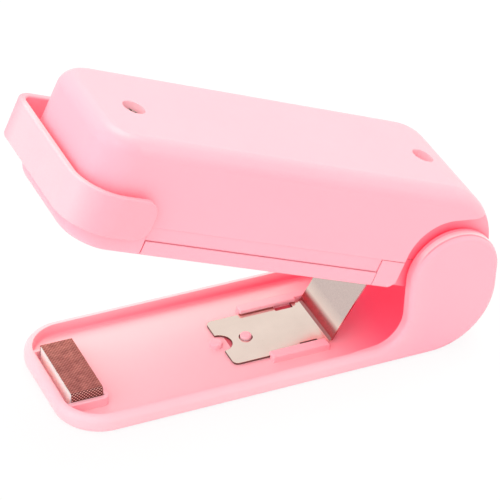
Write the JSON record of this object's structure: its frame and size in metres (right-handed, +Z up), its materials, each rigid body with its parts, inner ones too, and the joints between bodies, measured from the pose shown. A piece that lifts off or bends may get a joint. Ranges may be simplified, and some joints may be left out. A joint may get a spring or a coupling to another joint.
{
  "type": "handheld bag sealer",
  "caption": "Hand-held battery bag sealer: a hinged upper jaw with a covered heating strip closes on a padded lower tray, held open by a bent leaf spring, with a swinging locking yoke.",
  "frame": {"origin": "on the flat underside of the lower arm, under the middle of the length over all, on the arm's centre plane", "axes": "+X from the jaws' tip to the hinge, +Y to the left side seen from behind the hinge, +Z up"},
  "size_m": [0.1112, 0.0442, 0.0794],
  "materials": {
    "case_pink": "satin",
    "tray_pink": "satin",
    "yoke_pink": "matte",
    "leaf_steel": "polished",
    "pad_rubber": "matte",
    "woven_cover": "woven, coated",
    "cell_wrap": "gloss",
    "nickel": "plated",
    "brass": "satin",
    "insulator": "matte",
    "black_plastic": "satin",
    "red_wire": "satin",
    "black_wire": "satin"
  },
  "bodies": {
    "lower_arm": {"lower_arm": "tray_pink", "leaf_spring": "leaf_steel", "sealing_pad": "pad_rubber", "pad_cover": "woven_cover"},
    "upper_arm": {"battery_left": "cell_wrap", "battery_right": "cell_wrap", "contact_bridge": "nickel", "contact_negative": "nickel", "contact_positive": "nickel", "contact_spring_left": "nickel", "contact_spring_right": "nickel", "heater_block": "insulator", "heater_cover": "woven_cover", "heater_terminal_left": "brass", "heater_terminal_right": "brass", "heating_ribbon": "nickel", "lower_frame": "case_pink", "screw_back": "nickel", "screw_front": "nickel", "switch_body": "black_plastic", "top_shell": "case_pink", "wire_heater": "black_wire", "wire_negative": "black_wire", "wire_positive": "red_wire"},
    "battery_door": {"battery_door": "case_pink"},
    "lock_yoke": {"lock_yoke": "yoke_pink"},
    "switch_plunger": {"switch_plunger": "insulator"}
  },
  "joints": [
    {"name": "jaw_hinge", "type": "hinge", "parent": "lower_arm", "child": "upper_arm", "pos_m": [0.04391, 0, 0.02166], "axis": [0, -1, 0], "range_deg": [0, 27.31], "stiffness_Nm_per_rad": 0.5, "springref_deg": -20.05, "deforming": ["leaf_spring"]},
    {"name": "yoke_swing", "type": "hinge", "parent": "upper_arm", "child": "lock_yoke", "pos_m": [-0.03849, 0, 0.05636], "axis": [0, -1, 0], "range_deg": [0, 35]},
    {"name": "door_tilt", "type": "hinge", "parent": "upper_arm", "child": "battery_door", "pos_m": [-0.03765, 0, 0.04927], "axis": [0, 1, 0], "range_deg": [0, 5.5]},
    {"name": "plunger_slide", "type": "slide", "parent": "upper_arm", "child": "switch_plunger", "axis": [0.3778, 0, 0.9259], "range_m": [0, 0.0012]}
  ],
  "couplings": [
    {"joint": "plunger_slide", "follows": "jaw_hinge", "m_per_rad": 0.0025}
  ]
}
